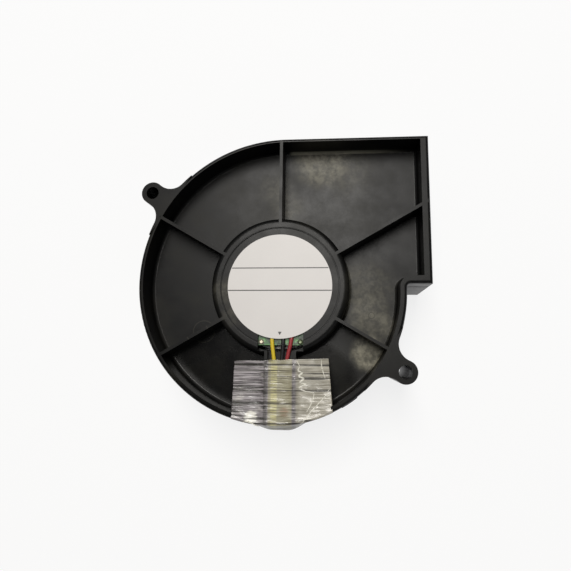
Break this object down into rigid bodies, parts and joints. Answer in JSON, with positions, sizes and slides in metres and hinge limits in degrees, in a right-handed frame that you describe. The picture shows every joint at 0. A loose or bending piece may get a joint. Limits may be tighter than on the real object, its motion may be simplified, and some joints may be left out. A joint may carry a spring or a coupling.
{
  "type": "centrifugal blower fan",
  "caption": "Flat scroll-shaped blower with an axial inlet, a side outlet, two screw ears and a ribbed motor side with a round hub, a lead channel and free leads.",
  "frame": {"origin": "on the rotor's axis, in the plane of the inlet face", "axes": "+Z along the rotor's axis from the inlet face to the motor side, +X out of the air outlet, +Y from the rotor towards the straight long wall of the outlet duct"},
  "size_m": [0.1008, 0.1085, 0.033],
  "materials": {
    "frame_plastic": "satin",
    "cover_plastic": "satin",
    "impeller_plastic": "satin",
    "label_film": "matte",
    "strapping_tape": "gloss",
    "board": "satin",
    "chip": "matte",
    "ceramic": "matte",
    "solder": "gloss",
    "silicon_steel": "satin",
    "white_nylon": "satin",
    "copper": "gloss",
    "brass": "satin",
    "bearing_steel": "polished",
    "spring_steel": "satin",
    "plated_steel": "satin",
    "bonded_ferrite": "matte",
    "yellow_insulation": "satin",
    "black_insulation": "satin",
    "red_insulation": "satin",
    "connector_nylon": "satin",
    "tinned_contact": "gloss"
  },
  "bodies": {
    "housing": {"base_frame": "frame_plastic", "front_cover": "cover_plastic", "label": "label_film", "tape": "strapping_tape", "circuit_board": "board", "driver_chip": "chip", "hall_sensor": "chip", "board_components": "ceramic", "solder_joints": "solder", "coil_pins": "solder", "stator_core": "silicon_steel", "upper_bobbin": "white_nylon", "lower_bobbin": "white_nylon", "coil_1": "copper", "coil_2": "copper", "coil_3": "copper", "coil_4": "copper", "bearing_tube": "brass", "rear_bearing_outer_race": "bearing_steel", "front_bearing_outer_race": "bearing_steel", "yellow_lead": "yellow_insulation", "black_lead": "black_insulation", "red_lead": "red_insulation", "connector_housing": "connector_nylon", "connector_contacts": "tinned_contact"},
    "rotor": {"impeller": "impeller_plastic", "rotor_yoke": "plated_steel", "magnet_ring": "bonded_ferrite", "rotor_boss": "brass", "shaft": "bearing_steel", "retaining_clip": "spring_steel", "preload_spring": "spring_steel", "rear_bearing_inner_race": "bearing_steel", "front_bearing_inner_race": "bearing_steel"},
    "rear_balls": {"rear_bearing_balls": "bearing_steel"},
    "front_balls": {"front_bearing_balls": "bearing_steel"}
  },
  "joints": [
    {"name": "rotor_spin", "type": "hinge", "parent": "housing", "child": "rotor", "pos_m": [0, 0, 0], "axis": [0, 0, 1], "continuous": true},
    {"name": "rear_cage_spin", "type": "hinge", "parent": "housing", "child": "rear_balls", "pos_m": [0, 0, 0.0272], "axis": [0, 0, 1], "continuous": true},
    {"name": "front_cage_spin", "type": "hinge", "parent": "housing", "child": "front_balls", "pos_m": [0, 0, 0.013], "axis": [0, 0, 1], "continuous": true}
  ],
  "couplings": [
    {"joint": "rear_cage_spin", "follows": "rotor_spin", "ratio": 0.385},
    {"joint": "front_cage_spin", "follows": "rotor_spin", "ratio": 0.385}
  ]
}
